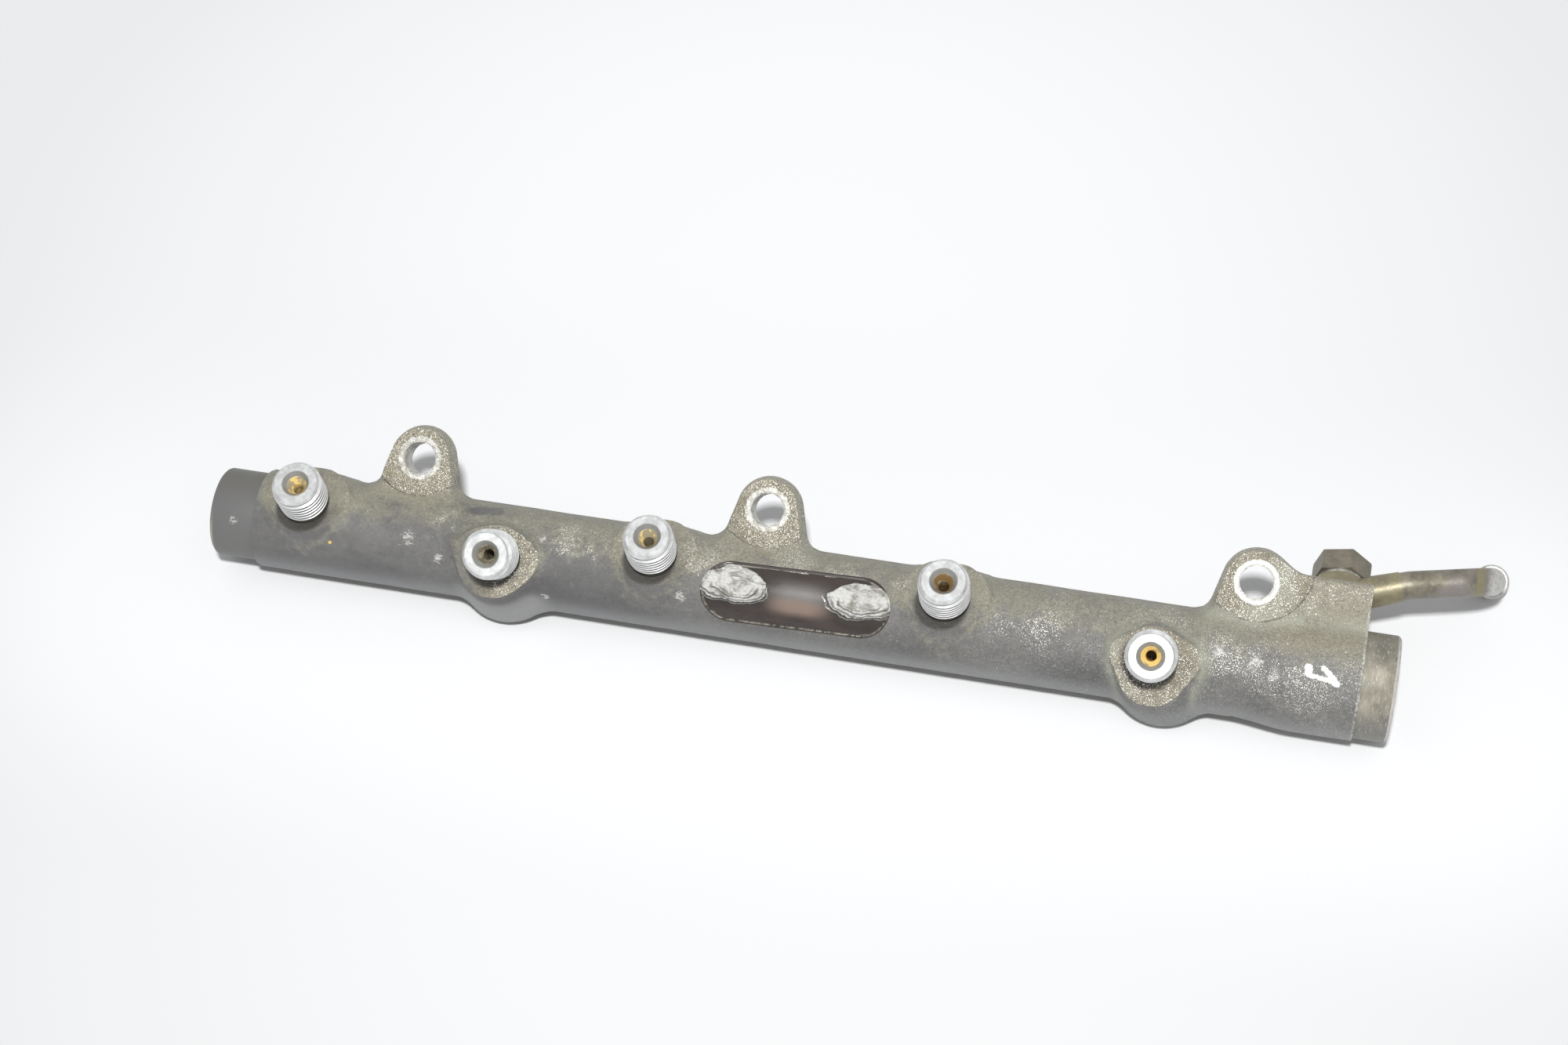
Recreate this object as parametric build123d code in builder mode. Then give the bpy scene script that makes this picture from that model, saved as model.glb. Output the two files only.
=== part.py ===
from build123d import *
from math import cos, radians, sin, tan
import os

os.makedirs("parts", exist_ok=True)


# A forged fuel rail with five pipe nipples, three fixing lugs and a return fitting at its right end.
# Millimetres. X runs along the rail from its left end face, on the rail's axis, and Z points up as it lies.
# A roll is an angle about X, measured from +Y towards +Z.

# Rail barrel
tube_radius = 13.65
rail_length = 330.5
left_collar_length = 13.0
left_collar_radius = 12.5
right_collar_length = 9.3
right_collar_radius = 14.5
collar_step = 0.6
collar_edge = 0.8
valve_housing_radius = 15.35
valve_housing_length = 16.5
housing_taper_length = 17.0
flash_width = 1.2
flash_height = 0.25

# Bores inside the barrel
rail_bore_radius = 5.0
bore_cone_angle = 30
sensor_port_radius = 8.2
sensor_port_depth = 14.0
valve_thread_radius = 10.2
valve_thread_depth = 11.0
valve_bore_radius = 9.0
valve_bore_depth = 34.0
port_chamfer = 0.9

# Pipe nipples, three on the upper row and two on the lower row
upper_roll = 106.0
lower_roll = 129.2
upper_stations = (28.2, 127.9, 209.0)
lower_left_station = 84.9
lower_right_station = rail_length - 64.55
spotface_rise = 1.65
undercut_radius = 6.1
undercut_length = 2.5
thread_radius = 7.0
thread_length = 9.5
nose_length = 1.6
nose_radius = 5.9
seat_mouth_radius = 3.6
seat_angle = 30
nipple_hole_radius = 1.5
nipple_root_depth = 2.0

# Outlines of the spotfaced bosses: x, y and radius of the circles that each outline wraps
upper_pad = ((0, 0, 8.8), (-2.4, 2.6, 8.6), (2.4, 2.6, 8.6))
lower_left_pad = ((0, 0, 8.0), (-4.6, -0.5, 7.4), (2.5, -1.2, 8.2), (-1.2, -2.2, 10.0))
lower_right_pad = ((0, 0, 7.6), (-3.6, -1.2, 6.8), (6.5, -0.5, 5.8), (0.6, -4.3, 9.4))
upper_draft = 6
upper_root = 6.0
lower_draft = 17
underside_depth = 9.0
underside_shrink = 1.0

# Fixing lugs, flat plates in the parting plane of the forging
lug_left_station = 55.95
lug_middle_station = 155.9
lug_right_station = rail_length - 40.1
lug_reach = 9.45
lug_radius = 9.45
lug_face = 5.0
lug_stock = 0.8
lug_back = 3.4
lug_draft = 11
lug_foot_half_width = 12.2
lug_foot_depth = 3.4
lug_root_radius = 4.0
lug_root_sink = 0.45
lug_edge_radius = 1.2
lug_hole_radius = 4.5
lug_hole_chamfer = 0.35
lug_cutter_radius = 14.8
lug_cutter_offset = 4.2

# Web from the right lug to the end face, and the boss of the return port
web_reach = 13.4
web_back = 4.0
web_edge_radius = 1.5
return_offset = 8.3
return_height = 2.5
return_roll = 3.0
return_boss_radius = 8.3
return_face = 19.9
return_cutter_radius = 9.5
return_thread_radius = 4.0
return_thread_clearance = 0.05
return_thread_depth = 11.0

# Shallow recess for the label
label_station = 168.35
label_length = 52.0
label_height = 16.0
label_depth = 0.3
label_slant = 1.4

# Return fitting: hollow bolt, eye with its socket, two sealing rings and the pipe
ring_thickness = 1.0
ring_radius = 6.6
eye_width = 8.6
eye_radius = 6.9
bolt_clearance = 0.15
eye_groove_depth = 1.05
eye_groove_width = 3.6
bolt_across_flats = 14.0
bolt_head_height = 6.3
bolt_crown_radius = 9.4
bolt_crown_angle = -13
bolt_turn = 45
bolt_reach = 9.0
bolt_passage_radius = 1.75
bolt_cross_radius = 1.25
neck_radius = 4.55
neck_tip_radius = 4.15
neck_length = 17.2
neck_root = 5.6
neck_port_radius = 2.2
neck_facing_radius = 8.4
neck_rise = 12.0
neck_swing = 15.0
pipe_radius = 3.88
pipe_bore_radius = 2.9
pipe_seat_depth = 6.0
pipe_lead = 2.0
pipe_run = 22.6
pipe_run_swing = 14.3
pipe_leg = 26.5
pipe_leg_dip = 50.5
pipe_leg_swing = 82.5
pipe_bend_radius = 11.0
neck_bend_radius = 14.0
bead_radius = 4.85
bead_length = 2.6
bead_inset = 2.0
bead_edge_radius = 0.7

body_end = rail_length - right_collar_length
spotface = tube_radius + spotface_rise
lug_hole_distance = tube_radius + lug_reach
return_station = body_end - return_offset
fitting_bore_radius = return_thread_radius + bolt_clearance
lower_nipples = ((lower_left_station, lower_left_pad), (lower_right_station, lower_right_pad))
nipple_places = [(station, upper_roll) for station in upper_stations]
nipple_places += [(station, lower_roll) for station, pad in lower_nipples]
lug_stations = (lug_left_station, lug_middle_station, lug_right_station)


def square_to(x, roll, distance=0.0):
    """Plane square to the rail's radius at that roll: its X runs along the rail, its Z points outwards."""
    outwards = Vector(0, cos(radians(roll)), sin(radians(roll)))
    return Plane(origin=Vector(x, 0, 0) + outwards * distance, x_dir=(1, 0, 0), z_dir=outwards)


def return_plane(distance):
    """Plane square to the return bolt's axis, at that distance from the rail's axis."""
    outwards = Vector(0, cos(radians(return_roll)), sin(radians(return_roll)))
    start = Vector(return_station, 0, return_height)
    return Plane(origin=start + outwards * distance, x_dir=(1, 0, 0), z_dir=outwards)


def swung(rise, swing):
    """Unit vector that starts along X, then swings towards +Y and rises by those angles."""
    level = cos(radians(rise))
    return Vector(level * cos(radians(swing)), level * sin(radians(swing)), sin(radians(rise)))


def pad_outline(pad, growth=0.0):
    """Outline of a boss: the hull of its circles, each made larger by the growth."""
    for x, y, radius in pad:
        with Locations((x, y)):
            Circle(radius + growth)
    make_hull()


# Forging blank of one lug at station zero: a drafted plate with concave roots and rounded edges
with BuildPart() as lug_blank:
    with BuildSketch(square_to(0, lower_roll)) as lug_outline:
        with Locations((0, lug_hole_distance)):
            Circle(lug_radius)
        with Locations((0, tube_radius - lug_foot_depth)):
            Rectangle(2 * lug_foot_half_width, lug_foot_depth)
        make_hull()
        root_level = tube_radius - lug_root_sink
        root_half_width = lug_foot_half_width + 2 * lug_root_radius
        with Locations((0, root_level / 2)):
            Rectangle(2 * root_half_width, root_level)
        root_corners = lug_outline.vertices().group_by(Axis.Y)[1].sort_by(Axis.X)[1:3]
        fillet(root_corners, radius=lug_root_radius)
    extrude(amount=lug_face + lug_stock, taper=lug_draft)
    extrude(lug_outline.sketch, amount=-lug_back, taper=lug_draft)
    drafted = Axis((0, 0, 0), square_to(0, lower_roll).z_dir)
    rims = lug_blank.faces().sort_by(drafted)[-1].edges() + lug_blank.faces().sort_by(drafted)[0].edges()
    fillet(rims, radius=lug_edge_radius)

with BuildPart() as rail_body:
    # Barrel with its two collars and the wider valve housing
    with BuildSketch(Plane.XY) as barrel_profile:
        with BuildLine():
            housing_start = body_end - valve_housing_length
            taper_start = housing_start - housing_taper_length
            Polyline(
                (0, 0),
                (0, left_collar_radius - collar_edge),
                (collar_edge, left_collar_radius),
                (left_collar_length, left_collar_radius),
                (left_collar_length + collar_step, tube_radius),
                (taper_start, tube_radius),
            )
            Spline(
                (taper_start, tube_radius),
                (housing_start, valve_housing_radius),
                tangents=((1, 0), (1, 0)),
            )
            Polyline(
                (housing_start, valve_housing_radius),
                (body_end, valve_housing_radius),
                (body_end, right_collar_radius),
                (rail_length - collar_edge, right_collar_radius),
                (rail_length, right_collar_radius - collar_edge),
                (rail_length, 0),
                (0, 0),
            )
        make_face()
    revolve(axis=Axis.X)

    # Forged bosses under the nipples
    for station in upper_stations:
        with BuildSketch(square_to(station, upper_roll, spotface)):
            pad_outline(upper_pad)
        extrude(amount=upper_root - spotface, taper=-upper_draft)
    for station, pad in lower_nipples:
        boss_spread = spotface * tan(radians(lower_draft))
        sections = ((spotface, 0), (0, boss_spread), (-underside_depth, -underside_shrink))
        for level, growth in sections:
            with BuildSketch(square_to(station, lower_roll, level)):
                pad_outline(pad, growth)
        loft(ruled=True)

    # Trimmed flash along the parting line, on both sides of the barrel
    flash_start = left_collar_length + collar_step
    with BuildSketch(square_to((flash_start + taper_start) / 2, lower_roll - 90)):
        Rectangle(taper_start - flash_start, flash_width)
    extrude(amount=tube_radius + flash_height, both=True)

    # Lugs
    for station in lug_stations:
        with Locations((station, 0, 0)):
            add(lug_blank.part)

    # Web from the right lug to the end face, with rounded outer edges
    web_length = body_end - lug_right_station
    web_outer = tube_radius + web_reach
    with BuildSketch(Plane(origin=(lug_right_station, 0, 0), x_dir=square_to(0, lower_roll).y_dir, z_dir=(1, 0, 0))):
        with Locations((web_outer / 2, (lug_face + lug_stock - web_back) / 2)):
            web_section = Rectangle(web_outer, lug_face + lug_stock + web_back)
        fillet(web_section.vertices().sort_by(Axis.X)[2:], radius=web_edge_radius)
    extrude(amount=web_length)

    # Boss of the return port
    with BuildSketch(return_plane(0)):
        Circle(return_boss_radius)
    extrude(amount=return_face)

    # Machined faces: lugs and return port
    for station in lug_stations:
        with BuildSketch(square_to(station, lower_roll, lug_face)):
            with Locations((0, lug_hole_distance + lug_cutter_offset)):
                Circle(lug_cutter_radius)
        extrude(amount=2 * lug_stock, mode=Mode.SUBTRACT)
    with BuildSketch(return_plane(return_face)):
        Circle(return_cutter_radius)
    extrude(amount=eye_width, mode=Mode.SUBTRACT)

    # Nipples
    for station, roll in nipple_places:
        with BuildSketch(square_to(station, roll, tube_radius - nipple_root_depth)):
            Circle(undercut_radius)
        extrude(amount=spotface_rise + nipple_root_depth + undercut_length)
        with BuildSketch(square_to(station, roll, spotface + undercut_length)):
            Circle(thread_radius)
        extrude(amount=thread_length)
        nose_start = spotface + undercut_length + thread_length
        with BuildSketch(square_to(station, roll, nose_start)):
            Circle(thread_radius)
        with BuildSketch(square_to(station, roll, nose_start + nose_length)):
            Circle(nose_radius)
        loft()

    # Bores of the barrel
    with BuildSketch(Plane.XY) as bore_profile:
        with BuildLine():
            cone = tan(radians(bore_cone_angle))
            valve_floor = rail_length - valve_bore_depth
            Polyline(
                (0, 0),
                (0, sensor_port_radius),
                (sensor_port_depth, sensor_port_radius),
                (sensor_port_depth + (sensor_port_radius - rail_bore_radius) * cone, rail_bore_radius),
                (valve_floor - (valve_bore_radius - rail_bore_radius) * cone, rail_bore_radius),
                (valve_floor, valve_bore_radius),
                (rail_length - valve_thread_depth, valve_bore_radius),
                (rail_length - valve_thread_depth, valve_thread_radius),
                (rail_length - port_chamfer, valve_thread_radius),
                (rail_length, valve_thread_radius + port_chamfer),
                (rail_length, 0),
                (0, 0),
            )
        make_face()
    revolve(axis=Axis.X, mode=Mode.SUBTRACT)

    # Holes and cone seats of the nipples
    nipple_top = spotface + undercut_length + thread_length + nose_length
    seat_depth = (seat_mouth_radius - nipple_hole_radius) / tan(radians(seat_angle))
    for station, roll in nipple_places:
        with BuildSketch(square_to(station, roll)):
            Circle(nipple_hole_radius)
        extrude(amount=nipple_top, mode=Mode.SUBTRACT)
        with BuildSketch(square_to(station, roll, nipple_top - seat_depth)):
            Circle(nipple_hole_radius)
        with BuildSketch(square_to(station, roll, nipple_top)):
            Circle(seat_mouth_radius)
        loft(mode=Mode.SUBTRACT)

    # Holes of the lugs and of the return port
    for station in lug_stations:
        with BuildSketch(square_to(station, lower_roll, -lug_back)):
            with Locations((0, lug_hole_distance)):
                Circle(lug_hole_radius)
        extrude(amount=lug_back + lug_face, mode=Mode.SUBTRACT)
        for level, side in ((lug_face, -1), (-lug_back, 1)):
            with BuildSketch(square_to(station, lower_roll, level)):
                with Locations((0, lug_hole_distance)):
                    Circle(lug_hole_radius + lug_hole_chamfer)
            with BuildSketch(square_to(station, lower_roll, level + side * lug_hole_chamfer)):
                with Locations((0, lug_hole_distance)):
                    Circle(lug_hole_radius)
            loft(mode=Mode.SUBTRACT)
    with BuildSketch(return_plane(return_face - return_thread_depth)):
        Circle(return_thread_radius + return_thread_clearance)
    extrude(amount=return_thread_depth, mode=Mode.SUBTRACT)
    with BuildSketch(return_plane(0)):
        Circle(bolt_passage_radius)
    extrude(amount=return_face, mode=Mode.SUBTRACT)

# Label recess: an obround cutter with a floor that follows the barrel
with BuildPart() as label_cutter:
    with BuildSketch(square_to(label_station, lower_roll, tube_radius / 2)):
        SlotOverall(label_length, label_height, rotation=label_slant)
    extrude(amount=tube_radius)
    with BuildSketch(Plane.YZ.offset(label_station - label_length)):
        Circle(tube_radius - label_depth)
    extrude(amount=2 * label_length, mode=Mode.SUBTRACT)
with rail_body:
    add(label_cutter.part, mode=Mode.SUBTRACT)
rail_body.part.label = "rail_body"
export_step(rail_body.part, "parts/rail_body.step")

# Sealing rings on both sides of the eye
inner_ring_level = return_face
eye_level = inner_ring_level + ring_thickness
outer_ring_level = eye_level + eye_width
head_level = outer_ring_level + ring_thickness
for name, level in (("inner_sealing_ring", inner_ring_level), ("outer_sealing_ring", outer_ring_level)):
    with BuildPart() as ring:
        with BuildSketch(return_plane(level)):
            Circle(ring_radius)
            Circle(fitting_bore_radius, mode=Mode.SUBTRACT)
        extrude(amount=ring_thickness)
    ring.part.label = name
    export_step(ring.part, f"parts/{name}.step")

# Hollow bolt of the return fitting, cross-drilled where the eye's groove runs
with BuildPart() as return_bolt:
    with BuildSketch(return_plane(head_level)):
        RegularPolygon(bolt_across_flats / 2, 6, major_radius=False, rotation=bolt_turn)
    extrude(amount=bolt_head_height)
    with BuildSketch(return_plane(head_level)):
        Circle(bolt_crown_radius)
    extrude(amount=bolt_head_height, taper=-bolt_crown_angle, mode=Mode.INTERSECT)
    with BuildSketch(return_plane(return_face - bolt_reach)):
        Circle(return_thread_radius)
    extrude(amount=bolt_reach + head_level - return_face)
    eye_middle = eye_level + eye_width / 2
    with BuildSketch(return_plane(return_face - bolt_reach)):
        Circle(bolt_passage_radius)
    extrude(amount=bolt_reach + eye_middle - return_face + bolt_cross_radius, mode=Mode.SUBTRACT)
    with BuildSketch(Plane.YZ.offset(return_station)):
        with Locations((return_plane(eye_middle).origin.Y, return_plane(eye_middle).origin.Z)):
            Circle(bolt_cross_radius)
    extrude(amount=fitting_bore_radius, both=True, mode=Mode.SUBTRACT)
return_bolt.part.label = "return_bolt"
export_step(return_bolt.part, "parts/return_bolt.step")

# Eye and its socket, brazed into one piece
eye_centre = return_plane(eye_middle).origin
neck_direction = swung(neck_rise, neck_swing)
with BuildPart() as return_eye:
    with BuildSketch(Plane(origin=eye_centre + neck_direction * neck_root, z_dir=neck_direction)):
        Circle(neck_radius)
    with BuildSketch(Plane(origin=eye_centre + neck_direction * neck_length, z_dir=neck_direction)):
        Circle(neck_tip_radius)
    loft()
    # The neck is faced off level with the eye, clear of the rings and the bolt's head
    for level in (eye_level - neck_radius, eye_level + eye_width):
        with BuildSketch(return_plane(level)):
            Circle(neck_facing_radius)
        extrude(amount=neck_radius, mode=Mode.SUBTRACT)
    with BuildSketch(return_plane(eye_level)):
        Circle(eye_radius)
    extrude(amount=eye_width)
    with BuildSketch(Plane(origin=eye_centre + neck_direction * neck_length, z_dir=neck_direction)):
        Circle(pipe_radius)
    extrude(amount=-pipe_seat_depth, mode=Mode.SUBTRACT)
    with BuildSketch(Plane(origin=eye_centre, z_dir=neck_direction)):
        Circle(neck_port_radius)
    extrude(amount=neck_length, mode=Mode.SUBTRACT)
    with BuildSketch(return_plane(eye_level)):
        Circle(fitting_bore_radius)
    extrude(amount=eye_width, mode=Mode.SUBTRACT)
    with BuildSketch(return_plane(eye_middle - eye_groove_width / 2)):
        Circle(fitting_bore_radius + eye_groove_depth)
    extrude(amount=eye_groove_width, mode=Mode.SUBTRACT)
return_eye.part.label = "return_eye"
export_step(return_eye.part, "parts/return_eye.step")

# Return pipe: straight out of the socket, then round a bend to its beaded hose end
pipe_start = eye_centre + neck_direction * (neck_length - pipe_seat_depth)
pipe_turn = eye_centre + neck_direction * (neck_length + pipe_lead)
pipe_corner = pipe_turn + swung(0, pipe_run_swing) * pipe_run
leg_direction = swung(-pipe_leg_dip, pipe_leg_swing)
pipe_end = pipe_corner + leg_direction * pipe_leg
with BuildPart() as return_pipe:
    with BuildLine() as pipe_route:
        FilletPolyline(
            pipe_start,
            pipe_turn,
            pipe_corner,
            pipe_end,
            radius=[neck_bend_radius, pipe_bend_radius],
        )
    with BuildSketch(Plane(origin=pipe_start, z_dir=neck_direction)):
        Circle(pipe_radius)
    sweep()
    bead_start = pipe_end - leg_direction * (bead_inset + bead_length)
    with BuildSketch(Plane(origin=bead_start, z_dir=leg_direction)):
        Circle(bead_radius)
    extrude(amount=bead_length)
    bead_rims = return_pipe.edges().filter_by(GeomType.CIRCLE).filter_by(lambda edge: edge.radius > pipe_radius * 1.1)
    fillet(bead_rims.sort_by(Axis(bead_start, leg_direction))[-2:], radius=bead_edge_radius)
    with BuildSketch(Plane(origin=pipe_start, z_dir=neck_direction)):
        Circle(pipe_bore_radius)
    sweep(path=pipe_route.line, mode=Mode.SUBTRACT)
return_pipe.part.label = "return_pipe"
export_step(return_pipe.part, "parts/return_pipe.step")
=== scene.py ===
from functools import cached_property, reduce
from math import cos, hypot, pi, radians, sin, sqrt, tan

import bpy
import numpy as np
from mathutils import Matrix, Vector


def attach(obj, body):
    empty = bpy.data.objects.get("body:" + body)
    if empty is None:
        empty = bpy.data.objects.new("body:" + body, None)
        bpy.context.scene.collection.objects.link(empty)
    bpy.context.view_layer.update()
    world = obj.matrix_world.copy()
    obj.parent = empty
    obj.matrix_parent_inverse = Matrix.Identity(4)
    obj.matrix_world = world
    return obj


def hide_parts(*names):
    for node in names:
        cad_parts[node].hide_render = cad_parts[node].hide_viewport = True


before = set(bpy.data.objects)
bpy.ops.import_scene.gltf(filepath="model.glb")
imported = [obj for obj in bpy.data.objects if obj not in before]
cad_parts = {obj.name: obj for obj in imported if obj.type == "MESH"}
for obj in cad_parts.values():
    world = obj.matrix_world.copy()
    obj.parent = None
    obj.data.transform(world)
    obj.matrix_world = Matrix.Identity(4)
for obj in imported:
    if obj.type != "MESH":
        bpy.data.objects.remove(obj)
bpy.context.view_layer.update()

# Sizes are in millimetres, in the frame of the model: X along the rail, Z up. Meshes are made in metres.
MM = 0.001

# Barrel
TUBE_R = 13.65
RAIL_LENGTH = 330.5
LEFT_COLLAR = 13.0
LEFT_COLLAR_R = 12.5
BODY_END = 321.2
RIGHT_COLLAR_R = 14.5
HOUSING_R = 15.35
HOUSING_START = 304.7
TAPER_START = 287.7
COLLAR_EDGE = 0.8
FLASH_WIDTH = 1.2
FLASH_HEIGHT = 0.24

# Rolls about X of the upper nipples, and of the lower nipples and the lug bolts
UPPER_ROLL = 106.0
LOWER_ROLL = 129.2
SPOTFACE = 15.3

# Bosses: outline circles (x, y, radius), and how they widen downwards
UPPER_SLOPE = 0.16
UPPER_SLOPE_END = 9
UPPER_PAD = ((0, 0, 8.8), (-2.4, 2.6, 8.6), (2.4, 2.6, 8.6))
LOWER_LEFT_PAD = ((0, 0, 8.0), (-4.6, -0.5, 7.4), (2.5, -1.2, 8.2), (-1.2, -2.2, 10.0))
LOWER_RIGHT_PAD = ((0, 0, 7.6), (-3.6, -1.2, 6.8), (6.5, -0.5, 5.8), (0.6, -4.3, 9.4))
UPPER_STATIONS = (28.2, 127.9, 209.0)
LOWER_LEFT = 84.9
LOWER_RIGHT = 265.95
# Station, outline, and how far the outline leans at the parting line, along the rail and away from the lugs
LOWER_BOSSES = ((LOWER_LEFT, LOWER_LEFT_PAD, 1.5, 2.6), (LOWER_RIGHT, LOWER_RIGHT_PAD, 3.0, 1.4))
LOWER_DRAFT = 17
UNDERSIDE = 9.0
UNDERSIDE_SHRINK = 1.0
PARTING_BLEND = 1.5
# Bosses and the web start that far from the axis, inside the tube
BURIED = 4
FACING_R = 18.5
HOLLOW_R = 4.0
HOLLOW_START = 9.0

# Lugs
LUG_STATIONS = (55.95, 155.9, 290.4)
LUG_DISTANCE = 23.1
LUG_R = 9.45
LUG_FOOT = 12.2
LUG_FACE = 5.0
LUG_STOCK = 0.8
LUG_BACK = 3.4
LUG_DRAFT = 11
LUG_HOLE_R = 4.5
LUG_CUTTER_R = 14.8
LUG_CUTTER_OFFSET = 4.2
# Outline circles of a lug: its head, and four small ones at its foot
LUG_PAD = [(0, LUG_DISTANCE, LUG_R)]
LUG_PAD += [(side * (LUG_FOOT - 1), across, 1) for side in (-1, 1) for across in (4.4, 9.2)]
WEB_X = 310
WEB_REACH = 27.0
WEB_BACK = 4.0
WEB_EDGE = 2.5
PRINT_R = 6.2

# Return port
RETURN_X = 312.9
RETURN_Z = 2.5
RETURN_ROLL = 3.0
RETURN_FACE = 19.9
RETURN_BOSS_R = 8.3
RETURN_CUTTER_R = 9.5
RETURN_BLEND = 3.0

# Label recess
LABEL_X = 168.35
LABEL_LENGTH = 52.0
LABEL_HEIGHT = 16.0
LABEL_DEPTH = 0.3
LABEL_SLANT = 1.4
LABEL_LOWEST = 3
LABEL_STRAIGHT = (LABEL_LENGTH - LABEL_HEIGHT) / 2
LABEL_OVERLAP = 0.3
# Scraped patches of the film: middle, half length, upper and lower edge
SCRAPED = ((-17.6, 9.4, 6.9, -2.9), (18.0, 9.2, 6.6, -3.2))

# Nipples
UNDERCUT_R = 6.1
UNDERCUT = 2.5
THREAD_R = 6.995
THREAD_LENGTH = 9.5
NOSE = 1.6
NOSE_R = 5.9
MOUTH_R = 3.6
CONE_RING_R = 2.6
HOLE_R = 1.5
PITCH = 1.5
THREAD_DEPTH = 0.92

# Ports in the two end faces
BORE_R = 5.0
SENSOR_R = 8.2
SENSOR_DEPTH = 14.0
VALVE_THREAD_R = 10.2
VALVE_THREAD_DEPTH = 11.0
VALVE_BORE_R = 9.0
VALVE_BORE_DEPTH = 34.0
PORT_THREAD_DEPTH = 0.75

# Picture of the floor: its middle and directions on the plane
PICTURE_MIDDLE = (2, 42, 0)
PICTURE_RIGHT = (0.9776, 0.2106, 0)
PICTURE_UP = (-0.2106, 0.9776, 0)


def out_of(roll):
    """Unit vector that leaves the rail's axis at that roll."""
    return np.array([0.0, cos(radians(roll)), sin(radians(roll))])


ALONG = np.array([1.0, 0.0, 0.0])
LOWER_OUT = out_of(LOWER_ROLL)
LUG_OUT = out_of(LOWER_ROLL - 90)
UPPER_OUT = out_of(UPPER_ROLL)
UPPER_SIDE = out_of(UPPER_ROLL - 90)
RETURN_OUT = out_of(RETURN_ROLL)
NIPPLES = [(station, UPPER_OUT) for station in UPPER_STATIONS]
NIPPLES += [(LOWER_LEFT, LOWER_OUT), (LOWER_RIGHT, LOWER_OUT)]
NIPPLES.sort(key=lambda nipple: nipple[0])


# Shape of the forging, as a signed distance

ROOT_BLEND = 5.0
EDGE_BLEND = 1.8
# Width of the lower bosses' roots, by place across the rail
LOWER_ROOTS = ((-12, -6, 2, 9), (2.6, 4.0, ROOT_BLEND, 0.6))
# How far along the rail each kind of shape can reach from its middle
NIPPLE_WINDOW = 24
LOWER_WINDOW = 28
LUG_WINDOW = 30
PORT_WINDOW = 12
# Lump size, height and seed of the forged skin's unevenness
UNEVENNESS = ((11, 0.07, 3), (4.5, 0.035, 5))


def smooth_min(a, b, width):
    blend = np.clip(0.5 + 0.5 * (b - a) / width, 0, 1)
    return b * (1 - blend) + a * blend - width * blend * (1 - blend)


def smooth_max(a, b, width):
    return -smooth_min(-a, -b, width)


def hull_distance(x, y, pad, directions=48):
    """Distance to the hull of a boss's circles, by its support lines."""
    far = None
    for k in range(directions):
        nx, ny = cos(2 * pi * k / directions), sin(2 * pi * k / directions)
        reach = max(nx * cx + ny * cy + r for cx, cy, r in pad)
        line = nx * x + ny * y - reach
        far = line if far is None else np.maximum(far, line)
    return far


def lumps(p, size, seed):
    """Smooth unevenness of a forged surface, between -1 and 1."""
    rng = np.random.default_rng(seed)
    total = 0
    for _ in range(6):
        direction = rng.normal(size=3)
        direction /= np.linalg.norm(direction)
        total = total + np.sin(p @ direction * 2 * pi / (size * rng.uniform(0.7, 1.5)) + rng.uniform(0, 2 * pi))
    return total / 6


def barrel_radius(x):
    t = np.clip((x - TAPER_START) / (HOUSING_START - TAPER_START), 0, 1)
    return TUBE_R + (HOUSING_R - TUBE_R) * t * t * (3 - 2 * t)


def return_off(p):
    return np.hypot(p[:, 0] - RETURN_X, (p[:, 2] - RETURN_Z) * RETURN_OUT[1] - p[:, 1] * RETURN_OUT[2])


def return_along(p):
    return p[:, 1] * RETURN_OUT[1] + (p[:, 2] - RETURN_Z) * RETURN_OUT[2]


def lower_boss(x, level, side, pad, lean_x, lean_side):
    """Lower boss, widest at the parting line, where its outline leans out."""
    slope = tan(radians(LOWER_DRAFT))
    spread = SPOTFACE * slope
    under_slope = (spread + UNDERSIDE_SHRINK) / UNDERSIDE
    lean = np.clip(np.where(level > 0, 1 - level / SPOTFACE, 1 + level / UNDERSIDE), 0, 1)
    outline = hull_distance(x - lean_x * lean, side + lean_side * lean, pad)
    upper = (outline - (SPOTFACE - level) * slope) * cos(radians(LOWER_DRAFT))
    lower = np.maximum((outline - spread - level * under_slope) / hypot(1, under_slope), -UNDERSIDE - level)
    return smooth_max(upper, lower, PARTING_BLEND)


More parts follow.
